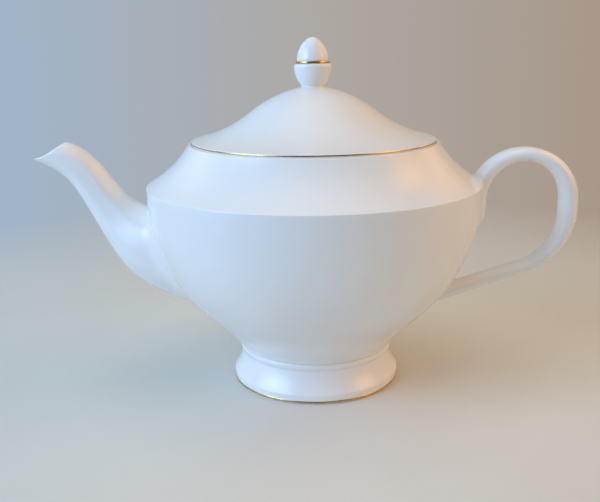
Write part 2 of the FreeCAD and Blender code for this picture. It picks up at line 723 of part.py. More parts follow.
def main():
    handle_cells, handle_count = handle_formulas()
    formulas = DERIVED + spine_formulas() + strainer_formulas() + handle_cells
    doc = FreeCAD.newDocument("Teapot")
    sheet = write_sheet(doc, formulas)
    envelope = make_envelope(doc, sheet)
    foot_line = make_gilt_line(
        doc, sheet, "FootGiltLine", "foot_gilt_r", "foot_radius", "foot_edge_round", "foot_gilt_z"
    )
    foot_line.Label = "foot_gilt_line"
    lid_line = make_gilt_line(
        doc, sheet, "LidGiltLine", "lid_gilt_r", "lid_radius", "lid_gilt_low", "lid_gilt_high"
    )
    lid_line.Label = "lid_gilt_line"
    finial_line = make_gilt_line(
        doc, sheet, "FinialGiltLine", "finial_gilt_r", "egg_radius", "cup_ledge_z", "egg_z"
    )
    finial_line.Label = "finial_gilt_line"
    pieces = [
        make_pot_body(doc, sheet),
        make_foot(doc, sheet),
        make_spout(doc, sheet, envelope),
        make_handle(doc, sheet, envelope, handle_count),
        make_lid(doc, sheet),
        make_finial(doc, sheet),
        foot_line,
        lid_line,
        finial_line,
    ]
    doc.recompute()
    check_document(doc, pieces)
    os.makedirs("parts", exist_ok=True)
    for piece in pieces:
        piece.Shape.exportStep(f"parts/{piece.Label}.step")
        print(piece.Label, round(piece.Shape.Volume), "mm3")


main()
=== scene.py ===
import math

import bmesh
import bpy
import numpy as np
from mathutils import Matrix, Vector


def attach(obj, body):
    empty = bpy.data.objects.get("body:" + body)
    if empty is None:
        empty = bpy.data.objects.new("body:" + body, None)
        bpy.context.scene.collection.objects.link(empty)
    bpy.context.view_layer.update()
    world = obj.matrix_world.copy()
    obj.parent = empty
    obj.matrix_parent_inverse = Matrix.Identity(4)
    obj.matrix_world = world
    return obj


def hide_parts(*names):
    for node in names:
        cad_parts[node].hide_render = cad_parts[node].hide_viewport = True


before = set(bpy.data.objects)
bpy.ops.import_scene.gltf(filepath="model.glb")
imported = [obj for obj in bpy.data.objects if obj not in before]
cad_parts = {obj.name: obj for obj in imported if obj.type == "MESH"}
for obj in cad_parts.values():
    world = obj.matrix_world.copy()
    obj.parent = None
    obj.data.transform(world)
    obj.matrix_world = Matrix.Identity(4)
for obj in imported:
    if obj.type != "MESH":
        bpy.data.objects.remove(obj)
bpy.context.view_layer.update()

# Studio, in metres: floor, backdrop from left to right, and the ambient light
FLOOR_FADE = (0.12, 0.46)
FLOOR_TONES = [(0.3, (0.715, 0.7, 0.638)), (0.7, (0.755, 0.74, 0.678))]
BACKDROP_REACH = 0.9
BACKDROP = [
    (0.0, (0.42, 0.42, 0.42)),
    (0.306, (0.36, 0.46, 0.58)),
    (0.5, (0.42, 0.395, 0.37)),
    (0.694, (0.392, 0.311, 0.251)),
    (1.0, (0.42, 0.4, 0.38)),
]
AMBIENT = (0.256, 0.334, 0.371)
FRONT_DIM = 0.2
FRONT_REACH = (-0.9, -0.3)

# Lamps, all facing the middle of the pot: name, place, side of the square, power and colour
POT_MIDDLE = (0.0, 0.0, 0.08)
LAMPS = [
    ("window_left", (-1.0, -0.55, 0.55), 1.45, 43.8, (0.461, 0.648, 1.0)),
    ("lamp_right", (1.0, -0.3, 0.5), 1.05, 13.1, (1.0, 0.439, 0.045)),
    ("lamp_high", (0.84, 0.17, 0.9), 0.7, 3.6, (1.0, 0.424, 0.05)),
    ("lamp_back", (0.9, 0.6, 0.6), 1.05, 4.2, (1.0, 0.452, 0.179)),
    ("fill_back", (-0.9, 0.5, 0.6), 1.05, 2.5, (1.0, 0.772, 0.212)),
    ("top_soft", (0.0, 0.1, 1.3), 1.8, 9.2, (1.0, 0.927, 0.729)),
]

# Camera, in metres, fitted to the photo's 600 pixels of width
CAMERA_PLACE = (0.0, -0.3811, 0.1646)
CAMERA_TILT = math.radians(14.86)
CAMERA_PAN = math.radians(-1.09)
CAMERA_ROLL = math.radians(-0.87)
FOCAL_PIXELS = 794.4
IMAGE_WIDTH = 600.0
SENSOR_WIDTH = 36.0

# Tones of the glaze and the gilding, as places and colours of a ramp
CHINA_TONES = [(0.25, (0.845, 0.838, 0.822)), (0.55, (0.875, 0.869, 0.855)), (0.8, (0.895, 0.891, 0.88))]
GILT_TONES = [(0.3, (0.5, 0.35, 0.13)), (0.6, (0.7, 0.51, 0.22)), (0.85, (0.8, 0.62, 0.32))]

# All lengths below are millimetres until a mesh is made
MM = 0.001
SEGMENTS = 256
OUTLINE_STEP = 0.12
AXIS_TOLERANCE = 1e-4
AXIS_CLEAR = 0.05
MIRROR_POINTS = 40
SMOOTH_ANGLE = 50.0
CUT_SMOOTH_ANGLE = 40.0
EDGE_SOFTNESS = {"pot_body": 0.2, "foot": 0.3, "lid": 0.15, "finial": 0.3}

# Bowl, shoulder and mouth
BOWL_RADIUS = 80.0
BOWL_CENTRE_Z = 95.0
BOWL_WALL = 3.0
WAIST_RADIUS = 36.7
WAIST_FILLET = 9.0
SHOULDER_Z = 98.7
SHOULDER_SAG = 1.9
RIM_Z = 117.3
RIM_RADIUS = 59.6
RIM_ROUND = 0.4
RIM_LIP_RISE = 0.7
RIM_LIP_INNER = 58.25
MOUTH_RADIUS = 54.0
COLLAR_Z = 113.3

# Strainer: its place along the spout's spine, and its rings as a count and a radius in pitches
STRAINER_AT = 0.16
STRAINER_PITCH = 5.6
STRAINER_RINGS = ((1, 0.0), (6, 1.0), (12, 1.95))
STRAINER_HOLE_R = 2.0
STRAINER_REACH = 14

# Foot
FOOT_RADIUS = 41.2
FOOT_EDGE_Z = 4.5
FOOT_ROUND = 0.5
FOOT_BORE = 32.8
FOOT_INNER = 35.8
BEAD_HEIGHT = 3.4
BEAD_SAG = 0.65
COVE_SAG = 0.9

# Lid
LID_RADIUS = 57.9
SEAT_Z = 117.35
LIP_Z = 119.05
LIP_ROUND = 0.2
LID_CROWN_R = 5.7
LID_CROWN_Z = 143.4
LID_SWING = math.radians(13.1)
LID_INFLECTION = 0.542
LID_WALL = 2.8
FLANGE_OUTER = 53.2
FLANGE_INNER = 50.4
FLANGE_Z = 105.35
VENT_RADIUS = 1.5
VENT_Y = 20.0
VENT_REACH = (100.0, 160.0)

# Finial
NECK_RADIUS = 5.3
NECK_Z = 143.85
NECK_SINK = 0.3
NECK_FLARE = ((0.5, -NECK_SINK), (0.3, 0.1))
CUP_RADIUS = 8.9
CUP_Z = 152.85
CUP_LIP = 1.3
EGG_RADIUS = 7.45
EGG_GROOVE = 0.25
EGG_Z = 155.25
EGG_HEIGHT = 10.8
EGG_CAP = 4.6

# Gilt lines: name, body, node, radius, lower and upper edge, depth, and the seed of its wander
GILT_LINES = [
    ("foot_gilt", "pot", "foot_gilt_line", FOOT_RADIUS, 0.5, 1.6, 0.25, 8),
    ("lid_gilt", "lid", "lid_gilt_line", LID_RADIUS, 118.35, 118.95, 0.25, 9),
    ("finial_gilt", "lid", "finial_gilt_line", EGG_RADIUS + 0.4, 154.1, 155.2, 0.65, 10),
]
GILT_PROUD = 0.14
GILT_WANDER = 0.035
GILT_LOBES = (3, 7, 11, 15, 19, 23)

# Spout, drawn leading to +X and then turned to its own side. Its spine runs from inside the bowl to
# the tip, and shares of the spine give where its section changes
SPINE = np.array([[36.0, 52.0], [122.0, 70.4], [91.2, 113.9], [137.82, 115.5]])
TO_SPOUT_SIDE = np.array([-1.0, -1.0, 1.0])
SPOUT_ROOT_R = 20.4
SPOUT_THROAT_R = 8.5
SPOUT_LIP_R = 3.8
FLARE_AT = 0.33
FLARE_POWER = 5
TAPER_POWER = 9
SPOUT_WALL = 2.4
SPOUT_LIP_WALL = 1.5
WALL_THINS_AT = 0.6
WALL_THINS_OVER = 0.3
RIDGE_LEAST = 0.3
RIDGE_ENDS_AT = 0.92
RIDGE_FADES_OVER = 0.25
SPOUT_BELLY = 0.085
LIP_POINT = np.array([135.35, 111.15])
LIP_PEAK = np.array([120.6, 119.6])
LIP_CUT_SAG = 1.4
LIP_BACK = 0.012
LIP_BACK_TOP = 0.03
PASSAGE_OVERLAP = 0.4
SPOUT_BLEND = {"top": 2.0, "side": 6.5, "bottom": 6.5}

# Edge of the spout's joint, run on under the bowl's surface so that it shows no step: gap and reach
JOINT_EDGE = ((-0.03, 0.5), (-0.12, 1.2), (-0.9, 2.0))

# Flats of the spout's section: the direction each faces, in degrees up from its side, and its distance
SPOUT_FLATS = (
    (0, 0.95), (180, 0.95), (56, 0.93), (124, 0.93),
    (90, 1.0), (-90, 1.0), (-42, 0.98), (-138, 0.98),
)
FLAT_POWER = 13.0

# Mesh of the spout: points around it, steps of its spine, and rows of each stretch
SPOUT_COLUMNS = 160
SPINE_STEPS = 2400
SPINE_NUDGE = 0.002
BLEND_ROWS = 22
SIDE_ROWS = 130
LIP_ROWS = 14
PASSAGE_ROWS = 90

# Handle
HANDLE_ROOT_X = 79.0
HANDLE_GRIP_X = 123.2
HANDLE_BEND_Z = 88.5
HANDLE_TAIL = 12.0
HANDLE_TAIL_SINK = 4.0
HANDLE_TAIL_POWER = 6
HANDLE_GRIP = 6.5
HANDLE_LOWER_R = 28.0
HANDLE_SLOPE = math.radians(18.5)
HANDLE_RUN = 54.0
HANDLE_WIDTH = 13.0
HANDLE_ARCH_T = 6.8
HANDLE_GRIP_T = 8.8
HANDLE_LOWER_T = 5.0
HANDLE_BLEND = 1.7
HANDLE_ROOT_DEPTH = 1.0
HANDLE_OVAL_POWER = 2.25
HANDLE_SMOOTHINGS = 30
HANDLE_COLUMNS = 72
LEAST_SLANT = 0.05


def arc(start, end, radius, turn, steps=48):
    """Points after start to end on an arc that turns left (+1) or right (-1) in the r-z plane."""
    start = np.array(start, float)
    end = np.array(end, float)
    chord = end - start
    length = np.hypot(*chord)
    left = np.array([-chord[1], chord[0]]) / length
    centre = (start + end) / 2 + left * turn * math.sqrt(max(radius**2 - length**2 / 4, 0.0))
    a0 = math.atan2(*(start - centre)[::-1])
    a1 = math.atan2(*(end - centre)[::-1])
    sweep = (a1 - a0) % (2 * math.pi) if turn > 0 else -((a0 - a1) % (2 * math.pi))
    angles = a0 + sweep * np.arange(1, steps + 1) / steps
    return [tuple(centre + radius * np.array([math.cos(a), math.sin(a)])) for a in angles]


def sag_radius(start, end, sag):
    chord = math.dist(start, end)
    return chord**2 / (8 * sag) + sag / 2


def resample(points, closed):
    """Points at an even spacing along a polyline."""
    pts = np.array(points + [points[0]] if closed else points, float)
    seg = np.hypot(*np.diff(pts, axis=0).T)
    along = np.concatenate([[0.0], np.cumsum(seg)])
    count = max(int(round(along[-1] / OUTLINE_STEP)), 8)
    where = np.linspace(0.0, along[-1], count + 1)
    out = np.stack([np.interp(where, along, pts[:, k]) for k in range(2)], axis=1)
    return out[:-1] if closed else out


def soften(points, sigma, closed=True):
    """Rounds the corners of an outline as a glaze does, then thins out points where it is straight."""
    pts = resample(points, closed)
    reach = int(4 * sigma / OUTLINE_STEP)
    kernel = np.exp(-0.5 * (np.arange(-reach, reach + 1) * OUTLINE_STEP / sigma) ** 2)
    kernel /= kernel.sum()
    if closed:
        padded = np.concatenate([pts[-reach:], pts, pts[:reach]])
    else:
        head = 2 * pts[0] - pts[reach:0:-1]
        tail = 2 * pts[-1] - pts[-2 : -reach - 2 : -1]
        padded = np.concatenate([head, pts, tail])
    smooth = np.stack([np.convolve(padded[:, k], kernel, mode="valid") for k in range(2)], axis=1)
    return thin(smooth)


def thin(pts, max_turn=math.radians(2.2), max_length=2.5):
    """Keeps enough points that no step turns or runs too far."""
    kept = [pts[0]]
    turned_by = 0.0
    run = 0.0
    for before, here, after in zip(pts[:-2], pts[1:-1], pts[2:]):
        a = math.atan2(*(here - before)[::-1])
        b = math.atan2(*(after - here)[::-1])
        turned_by += abs((b - a + math.pi) % (2 * math.pi) - math.pi)
        run += math.dist(here, before)
        if turned_by > max_turn or run > max_length:
            kept.append(here)
            turned_by = 0.0
            run = 0.0
    kept.append(pts[-1])
    return [tuple(p) for p in kept]


def finish_mesh(mesh, smooth_angle):
    for poly in mesh.polygons:
        poly.use_smooth = True
    mesh.set_sharp_from_angle(angle=math.radians(smooth_angle))


def mesh_object(name, verts, faces, body, material):
    """Object in metres from points in millimetres, riding on a body."""
    mesh = bpy.data.meshes.new(name)
    mesh.from_pydata([tuple(c * MM for c in v) for v in verts], [], faces)
    mesh.validate()
    bm = bmesh.new()
    bm.from_mesh(mesh)
    bmesh.ops.recalc_face_normals(bm, faces=bm.faces)
    bm.to_mesh(mesh)
    bm.free()
    finish_mesh(mesh, SMOOTH_ANGLE)
    mesh.materials.append(material)
    obj = bpy.data.objects.new(name, mesh)
    bpy.context.scene.collection.objects.link(obj)
    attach(obj, body)
    return obj


def lathe(outline, closed=True, wave=None):
    """Outline (r, z) turned about Z; a point on the axis becomes a single vertex."""
    verts = []
    rings = []
    for number, (r, z) in enumerate(outline):
        if r < AXIS_TOLERANCE:
            rings.append([len(verts)])
            verts.append((0.0, 0.0, z))
            continue
        ring = []
        for k in range(SEGMENTS):
            a = 2 * math.pi * k / SEGMENTS
            dz = wave(number, a) if wave else 0.0
            ring.append(len(verts))
            verts.append((r * math.cos(a), r * math.sin(a), z + dz))
        rings.append(ring)
    faces = []
    count = len(rings)
    for number in range(count if closed else count - 1):
        low = rings[number]
        high = rings[(number + 1) % count]
        if len(low) == 1 and len(high) == 1:
            continue
        for k in range(SEGMENTS):
            n = (k + 1) % SEGMENTS
            if len(low) == 1:
                faces.append((low[0], high[n], high[k]))
            elif len(high) == 1:
                faces.append((low[k], low[n], high[0]))
            else:
                faces.append((low[k], low[n], high[n], high[k]))
    return verts, faces


def grid_faces(rows, columns, closed):
    """Faces between rows of points that each run round in a ring; closed joins the last to the first."""
    faces = []
    for row in range(rows if closed else rows - 1):
        low = row * columns
        high = (row + 1) % rows * columns
        for k in range(columns):
            n = (k + 1) % columns
            faces.append((low + k, low + n, high + n, high + k))
    return faces


def touches_axis(points):
    return any(r < AXIS_TOLERANCE for r, _ in points)


def turned_outline(points, sigma):
    """Softened outline of a turned piece; one that touches the axis is mirrored there meanwhile."""
    if not touches_axis(points):
        return soften(points, sigma)
    pairs = enumerate(zip(points[-1:] + points[:-1], points))
    start = next(i for i, (before, here) in pairs if max(before[0], here[0]) < AXIS_TOLERANCE)
    run = resample(points[start:] + points[:start], False)
    head = [(-r, z) for r, z in run[MIRROR_POINTS:0:-1]]
    tail = [(-r, z) for r, z in run[-2 : -MIRROR_POINTS - 2 : -1]]
    smooth = soften(head + [tuple(p) for p in run] + tail, sigma, closed=False)
    inside = [(r, z) for r, z in smooth if r > AXIS_CLEAR]
    return [(0.0, inside[0][1])] + inside + [(0.0, inside[-1][1])]


# Outside of the bowl from the foot's joint to the rim: the waist's fillet, a cone at 45 degrees, the
# round side, the shoulder and the rim's lip
cone = math.sqrt(0.5)
cone_top = (BOWL_RADIUS * cone, BOWL_CENTRE_Z - BOWL_RADIUS * cone)
waist_corner_z = cone_top[1] - (cone_top[0] - WAIST_RADIUS)
fillet_run = WAIST_FILLET * math.tan(math.radians(22.5))
waist_z = waist_corner_z - fillet_run
fillet_top = (WAIST_RADIUS + fillet_run * cone, waist_corner_z + fillet_run * cone)
joint_z = waist_z + BEAD_HEIGHT
joint_r = WAIST_RADIUS + WAIST_FILLET - math.sqrt(WAIST_FILLET**2 - BEAD_HEIGHT**2)
shoulder = (BOWL_RADIUS, SHOULDER_Z)
rim_top = RIM_Z + RIM_LIP_RISE
rim_side = (RIM_RADIUS, rim_top - RIM_ROUND)
shoulder_curve = sag_radius(shoulder, rim_side, SHOULDER_SAG)


def outer_wall():
    pts = [(joint_r, joint_z)]
    pts += arc(pts[-1], fillet_top, WAIST_FILLET, -1)
    pts += [cone_top]
    pts += arc(cone_top, (BOWL_RADIUS, BOWL_CENTRE_Z), BOWL_RADIUS, 1, steps=96)
    pts += [shoulder]
    pts += arc(shoulder, rim_side, shoulder_curve, -1)
    pts += arc(rim_side, (RIM_RADIUS - RIM_ROUND, rim_top), RIM_ROUND, 1, steps=16)
    return pts


WALL = np.array(outer_wall())


def bowl_distance(points):
    """Signed distance of points (n, 3) from the outside of the bowl, positive outside, and its direction."""
    rho = np.hypot(points[:, 0], points[:, 1])
    flat = np.stack([rho, points[:, 2]], axis=1)
    a = WALL[:-1]
    ab = WALL[1:] - a
    length2 = (ab**2).sum(1)
    best = np.full(len(flat), 1e9)
    sign = np.ones(len(flat))
    near = np.zeros_like(flat)
    for k in range(len(a)):
        ap = flat - a[k]
        share = np.clip((ap @ ab[k]) / length2[k], 0.0, 1.0)
        foot = a[k] + share[:, None] * ab[k]
        gap = np.hypot(*(flat - foot).T)
        closer = gap < best - 1e-9
        best = np.where(closer, gap, best)
        side = np.where(ab[k][0] * ap[:, 1] - ab[k][1] * ap[:, 0] > 0, -1.0, 1.0)
        sign = np.where(closer, side, sign)
        near[closer] = foot[closer]
    away = (flat - near) * sign[:, None]
    away /= np.maximum(np.hypot(*away.T), 1e-9)[:, None]
    outward = points[:, :2] / np.maximum(rho, 1e-6)[:, None]
    direction = np.column_stack([away[:, :1] * outward, away[:, 1]])
    return best * sign, direction


def new_material(name):
    material = bpy.data.materials.new(name)
    material.use_nodes = True
    return material, material.node_tree.nodes, material.node_tree.links


def noise(nodes, links, coords, scale, detail, roughness=0.5):
    node = nodes.new("ShaderNodeTexNoise")
    node.inputs["Scale"].default_value = scale
    node.inputs["Detail"].default_value = detail
    node.inputs["Roughness"].default_value = roughness
    links.new(coords, node.inputs["Vector"])
    return node.outputs["Fac"]


def ramp(nodes, links, factor, stops):
    node = nodes.new("ShaderNodeValToRGB")
    elements = node.color_ramp.elements
    while len(elements) < len(stops):
        elements.new(0.5)
    for element, (place, colour) in zip(elements, stops):
        element.position = place
        element.color = (*colour, 1.0)
    links.new(factor, node.inputs["Fac"])
    return node.outputs["Color"]


def spread(nodes, links, factor, low, high, start, end):
    node = nodes.new("ShaderNodeMapRange")
    node.inputs["From Min"].default_value = start
    node.inputs["From Max"].default_value = end
    node.inputs["To Min"].default_value = low
    node.inputs["To Max"].default_value = high
    links.new(factor, node.inputs["Value"])
    return node.outputs["Result"]


def roughen(nodes, links, shader, height, strength, distance):
    """Fine relief in a material's normals."""
    bump = nodes.new("ShaderNodeBump")
    bump.inputs["Strength"].default_value = strength
    bump.inputs["Distance"].default_value = distance
    links.new(height, bump.inputs["Height"])
    links.new(bump.outputs["Normal"], shader.inputs["Normal"])


def china_material():
    """White glazed china: a faint mottle in the body under a clear glaze with slight waves."""
    material, nodes, links = new_material("glazed_china")
    shader = nodes["Principled BSDF"]
    coords = nodes.new("ShaderNodeTexCoord").outputs["Object"]
    mottle = noise(nodes, links, coords, 22.0, 4.0)
    links.new(ramp(nodes, links, mottle, CHINA_TONES), shader.inputs["Base Color"])
    patches = noise(nodes, links, coords, 60.0, 3.0)
    links.new(spread(nodes, links, patches, 0.13, 0.19, 0.3, 0.7), shader.inputs["Roughness"])
    shader.inputs["IOR"].default_value = 1.5
    shader.inputs["Coat Weight"].default_value = 0.2
    shader.inputs["Coat Roughness"].default_value = 0.1
    shader.inputs["Subsurface Weight"].default_value = 0.12
    shader.inputs["Subsurface Radius"].default_value = (1.0, 0.8, 0.6)
    shader.inputs["Subsurface Scale"].default_value = 0.003
    waves = noise(nodes, links, coords, 90.0, 2.0)
    roughen(nodes, links, shader, waves, strength=0.05, distance=0.0006)
    return material


def gilt_material():
    """Burnished gilding, a little uneven and rubbed."""
    material, nodes, links = new_material("gilt")
    shader = nodes["Principled BSDF"]
    coords = nodes.new("ShaderNodeTexCoord").outputs["Object"]
    grain = noise(nodes, links, coords, 700.0, 4.0, 0.6)
    links.new(ramp(nodes, links, grain, GILT_TONES), shader.inputs["Base Color"])
    shader.inputs["Metallic"].default_value = 1.0
    rub = noise(nodes, links, coords, 160.0, 3.0)
    links.new(spread(nodes, links, rub, 0.12, 0.26, 0.3, 0.7), shader.inputs["Roughness"])
    roughen(nodes, links, shader, grain, strength=0.15, distance=0.0001)
    return material


CHINA = china_material()
GILT = gilt_material()


def cut_holes(obj, cutters):
    """Cuts every rod in cutters, (start, end, radius) in millimetres, out of obj."""
    bm = bmesh.new()
    for start, end, radius in cutters:
        start = Vector(start) * MM
        end = Vector(end) * MM
        along = end - start
        turn = along.to_track_quat("Z", "Y").to_matrix().to_4x4()
        bmesh.ops.create_cone(
            bm,
            cap_ends=True,
            segments=40,
            radius1=radius * MM,
            radius2=radius * MM,
            depth=along.length,
            matrix=Matrix.Translation((start + end) / 2) @ turn,
        )
    mesh = bpy.data.meshes.new("rods")
    bm.to_mesh(mesh)
    bm.free()
    rods = bpy.data.objects.new("rods", mesh)
    bpy.context.scene.collection.objects.link(rods)
    modifier = obj.modifiers.new("holes", "BOOLEAN")
    modifier.object = rods
    modifier.operation = "DIFFERENCE"
    modifier.solver = "EXACT"
    depsgraph = bpy.context.evaluated_depsgraph_get()
    result = bpy.data.meshes.new_from_object(obj.evaluated_get(depsgraph))
    obj.modifiers.clear()
    old = obj.data
    obj.data = result
    bpy.data.meshes.remove(old)
    bpy.data.objects.remove(rods)
    bpy.data.meshes.remove(mesh)
    finish_mesh(obj.data, CUT_SMOOTH_ANGLE)


def spine_at(t):
    """Place on the spout's spine and the direction it leads there."""
    t = np.asarray(t, float)[..., None]
    s = 1.0 - t
    p0, p1, p2, p3 = SPINE
    place = s**3 * p0 + 3 * s**2 * t * p1 + 3 * s * t**2 * p2 + t**3 * p3
    slope = s**2 * (p1 - p0) + 2 * s * t * (p2 - p1) + t**2 * (p3 - p2)
    return place, slope / np.linalg.norm(slope, axis=-1, keepdims=True)


def spout_radius(t):
    flare = (SPOUT_ROOT_R - SPOUT_THROAT_R) / (1.0 + (t / FLARE_AT) ** FLARE_POWER)
    return SPOUT_THROAT_R + flare - (SPOUT_THROAT_R - SPOUT_LIP_R) * t**TAPER_POWER


def spout_wall(t):
    """Thickness of the spout's wall, which thins towards the lip."""
    thinned = np.clip((t - WALL_THINS_AT) / WALL_THINS_OVER, 0.0, 1.0)
    return SPOUT_WALL + (SPOUT_LIP_WALL - SPOUT_WALL) * thinned


def flats_reach(angle):
    total = 0.0
    for facing, distance in SPOUT_FLATS:
        share = np.maximum(np.cos(angle - math.radians(facing)), 0.0) / distance
        total = total + share**FLAT_POWER
    return total ** (-1 / FLAT_POWER)


def section_reach(phi):
    """Reach of the spout's section, which has a soft ridge on each side, with its top and bottom at 1."""
    quarter = math.pi / 2
    reach = flats_reach(phi)
    z = reach * np.sin(phi)
    return reach * np.cos(phi), np.where(z > 0, z / flats_reach(quarter), z / flats_reach(-quarter))


def spout_point(t, phi, inset):
    """Point on the spout's side: phi 0 at its left, a quarter turn at its top. Round towards the mouth."""
    place, along = spine_at(t)
    radius = spout_radius(t) - inset
    fade = np.clip((RIDGE_ENDS_AT - t) / RIDGE_FADES_OVER, 0.0, 1.0)
    ridged = RIDGE_LEAST + (1 - RIDGE_LEAST) * fade
    flat_x, flat_z = section_reach(phi)
    across = ((1 - ridged) * np.cos(phi) + ridged * flat_x) * radius
    above = ((1 - ridged) * np.sin(phi) + ridged * flat_z) * radius
    above = np.where(above < 0, above * (1 - SPOUT_BELLY * fade), above)
    x = place[..., 0] - along[..., 1] * above
    z = place[..., 1] + along[..., 0] * above
    return np.stack([x, across, z], axis=-1)


def lip_cut_circle():
    """Centre and radius of the round cut that shapes the pouring lip."""
    run = LIP_POINT - LIP_PEAK
    radius = sag_radius(tuple(LIP_POINT), tuple(LIP_PEAK), LIP_CUT_SAG)
    up = np.array([-run[1], run[0]]) / np.hypot(*run)
    return (LIP_POINT + LIP_PEAK) / 2 + up * (radius - LIP_CUT_SAG), radius


def first_crossing(values):
    """Share of the spine at the first change from negative to positive along each column."""
    index = np.maximum(np.argmax(values > 0, axis=0), 1)
    columns = np.arange(values.shape[1])
    low = values[index - 1, columns]
    high = values[index, columns]
    return (index - 1 + low / (low - high)) / SPINE_STEPS


def blended(points, further, gap, push):
    """Points moved along the bowl's surface, away from the joint, and set at their gap from the bowl."""
    _, away = bowl_distance(points)
    around = np.roll(points, -1, axis=0) - np.roll(points, 1, axis=0)
    normal = np.cross(around, further - points)
    normal /= np.linalg.norm(normal, axis=1, keepdims=True)
    normal *= np.sign(((points - points.mean(axis=0)) * normal).sum(1).mean())
    side = normal - (normal * away).sum(1, keepdims=True) * away
    side /= np.linalg.norm(side, axis=1, keepdims=True)
    moved = points + side * push[:, None]
    distance, away = bowl_distance(moved)
    return moved + away * (gap - distance)[:, None]


def make_spout():
    """Hollow spout with a soft joint to the bowl and a thin pouring lip."""
    phi = 2 * math.pi * (np.arange(SPOUT_COLUMNS) + 0.5) / SPOUT_COLUMNS
    cut_centre, cut_radius = lip_cut_circle()

    def outside(t):
        return spout_point(t, np.broadcast_to(phi, t.shape), 0.0)

    def inside(t):
        return spout_point(t, np.broadcast_to(phi, t.shape), spout_wall(t))

    def measure(side):
        """Gap to the bowl along the side, and the share of the spine at which the lip's cut ends it."""
        t = np.repeat(np.linspace(0.0, 1.0, SPINE_STEPS + 1)[:, None], SPOUT_COLUMNS, axis=1)
        pts = side(t)
        gap, _ = bowl_distance(pts.reshape(-1, 3))
        cut = cut_radius - np.hypot(pts[..., 0] - cut_centre[0], pts[..., 2] - cut_centre[1])
        return gap.reshape(t.shape), first_crossing(cut)

    def joint_row(t, gap, push):
        return blended(outside(t), outside(t + SPINE_NUDGE), gap, push)

    outer_gap, outer_end = measure(outside)
    inner_gap, inner_end = measure(inside)
    top_share = np.clip(np.sin(phi), 0.0, 1.0) ** 2
    bottom_share = np.clip(-np.sin(phi), 0.0, 1.0) ** 2
    side = SPOUT_BLEND["side"]
    blend = side + (SPOUT_BLEND["top"] - side) * top_share + (SPOUT_BLEND["bottom"] - side) * bottom_share
    lip_back = LIP_BACK + LIP_BACK_TOP * top_share

    met = first_crossing(outer_gap)
    rows = [joint_row(met, gap, blend + reach) for gap, reach in reversed(JOINT_EDGE)]
    # the side leaves the bowl's surface on a round that changes around the spout
    for angle in np.linspace(math.pi / 2, 0.0, BLEND_ROWS):
        gap = blend * (1 - math.sin(angle))
        rows.append(joint_row(first_crossing(outer_gap - gap), gap, blend * (1 - math.cos(angle))))
    root = first_crossing(outer_gap - blend)
    for share in np.linspace(0.0, 1.0, SIDE_ROWS)[1:]:
        rows.append(outside(root + (outer_end - lip_back - root) * share))
    # the lip is one smooth round from the outside to the passage
    a0 = outside(outer_end - lip_back)
    a1 = outside(outer_end)
    b1 = inside(inner_end)
    b0 = inside(inner_end - lip_back)
    for s in np.linspace(0.0, 1.0, LIP_ROWS)[1:]:
        k = 1 - s
        rows.append(k**3 * a0 + 3 * k**2 * s * a1 + 3 * k * s**2 * b1 + s**3 * b0)
    inner_root = first_crossing(inner_gap + PASSAGE_OVERLAP)
    for share in np.linspace(1.0, 0.0, PASSAGE_ROWS)[1:]:
        rows.append(inside(inner_root + (inner_end - lip_back - inner_root) * share))
    return np.concatenate(rows) * TO_SPOUT_SIDE, grid_faces(len(rows), SPOUT_COLUMNS, True)


def handle_path():
    """Places and thicknesses (x, z, t) of the handle's sections from the tail to inside the bowl."""
    arch_r = (HANDLE_GRIP_X - HANDLE_ROOT_X) / 2
    arch_x = HANDLE_ROOT_X + arch_r
    lower_x = HANDLE_GRIP_X - HANDLE_LOWER_R
    lower_z = HANDLE_BEND_Z - HANDLE_GRIP
    lower_turn = math.pi / 2 - HANDLE_SLOPE
    rows = []
    for share in np.linspace(1.0, 0.0, 60)[:-1]:
        curl = share**HANDLE_TAIL_POWER
        rows.append((
            HANDLE_ROOT_X - HANDLE_TAIL_SINK * curl,
            HANDLE_BEND_Z - share * HANDLE_TAIL,
            HANDLE_GRIP_T + curl * (HANDLE_LOWER_T - HANDLE_GRIP_T),
        ))
    for turn in np.linspace(0.0, math.pi, 120):
        rows.append((
            arch_x - arch_r * math.cos(turn),
            HANDLE_BEND_Z + arch_r * math.sin(turn),
            HANDLE_ARCH_T + math.cos(turn) ** 2 * (HANDLE_GRIP_T - HANDLE_ARCH_T),
        ))
    for share in np.linspace(0.0, 1.0, 14)[1:-1]:
        rows.append((HANDLE_GRIP_X, HANDLE_BEND_Z - share * HANDLE_GRIP, HANDLE_GRIP_T))
    for share in np.linspace(0.0, 1.0, 70):
        turn = share * lower_turn
        rows.append((
            lower_x + HANDLE_LOWER_R * math.cos(turn),
            lower_z - HANDLE_LOWER_R * math.sin(turn),
            HANDLE_GRIP_T + share * (HANDLE_LOWER_T - HANDLE_GRIP_T),
        ))
    start_x, start_z, _ = rows[-1]
    for share in np.linspace(0.0, 1.0, 130)[1:]:
        rows.append((
            start_x - share * HANDLE_RUN * math.cos(HANDLE_SLOPE),
            start_z - share * HANDLE_RUN * math.sin(HANDLE_SLOPE),
            HANDLE_LOWER_T + share * (HANDLE_ARCH_T - HANDLE_LOWER_T),
        ))
    rows = np.array(rows)
    for _ in range(HANDLE_SMOOTHINGS):
        rows[1:-1] = (rows[:-2] + 2 * rows[1:-1] + rows[2:]) / 4
    return rows


